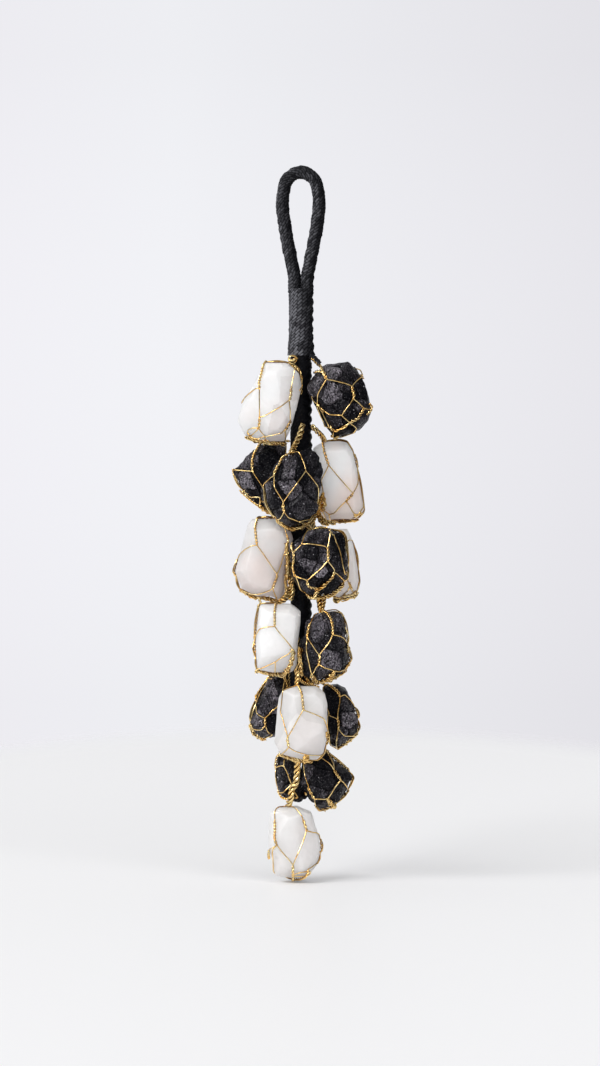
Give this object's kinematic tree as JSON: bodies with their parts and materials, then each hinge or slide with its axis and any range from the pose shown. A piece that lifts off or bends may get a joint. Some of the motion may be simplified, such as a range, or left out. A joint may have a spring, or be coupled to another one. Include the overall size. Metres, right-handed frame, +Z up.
{
  "type": "crystal door hanging",
  "caption": "Door hanging: rough white quartz and black tourmaline in gold wire nets, tied in tiers down a wrapped black rope that ends in a hanging loop.",
  "frame": {"origin": "inside of the loop's crown, where a hook or a knob's neck carries the piece", "axes": "+Z up, the front faces -Y, +X to the right as seen from the front"},
  "size_m": [0.0661, 0.0423, 0.3307],
  "materials": {
    "quartz": "milky and translucent, glossy broken faces",
    "tourmaline": "rough, grainy, with glints",
    "gold_wire": "bright drawn wire",
    "black_cord": "matt twisted cord"
  },
  "bodies": {
    "root": {"hanging_loop": "black_cord", "neck_binding": "black_cord", "core_cord": "black_cord", "stone_1_white_left": "quartz", "stone_1_black_right": "tourmaline", "stone_2_black_left": "tourmaline", "stone_2_black_middle": "tourmaline", "stone_2_white_right": "quartz", "stone_3_white_left": "quartz", "stone_3_black_middle": "tourmaline", "stone_3_white_right": "quartz", "stone_4_white_left": "quartz", "stone_4_black_right": "tourmaline", "stone_5_black_left": "tourmaline", "stone_5_white_middle": "quartz", "stone_5_black_right": "tourmaline", "stone_6_black_left": "tourmaline", "stone_6_black_right": "tourmaline", "stone_7_white_bottom": "quartz", "net_1_white_left": "gold_wire", "net_1_black_right": "gold_wire", "net_2_black_left": "gold_wire", "net_2_black_middle": "gold_wire", "net_2_white_right": "gold_wire", "net_3_white_left": "gold_wire", "net_3_black_middle": "gold_wire", "net_3_white_right": "gold_wire", "net_4_white_left": "gold_wire", "net_4_black_right": "gold_wire", "net_5_black_left": "gold_wire", "net_5_white_middle": "gold_wire", "net_5_black_right": "gold_wire", "net_6_black_left": "gold_wire", "net_6_black_right": "gold_wire", "net_7_white_bottom": "gold_wire"}
  },
  "joints": []
}
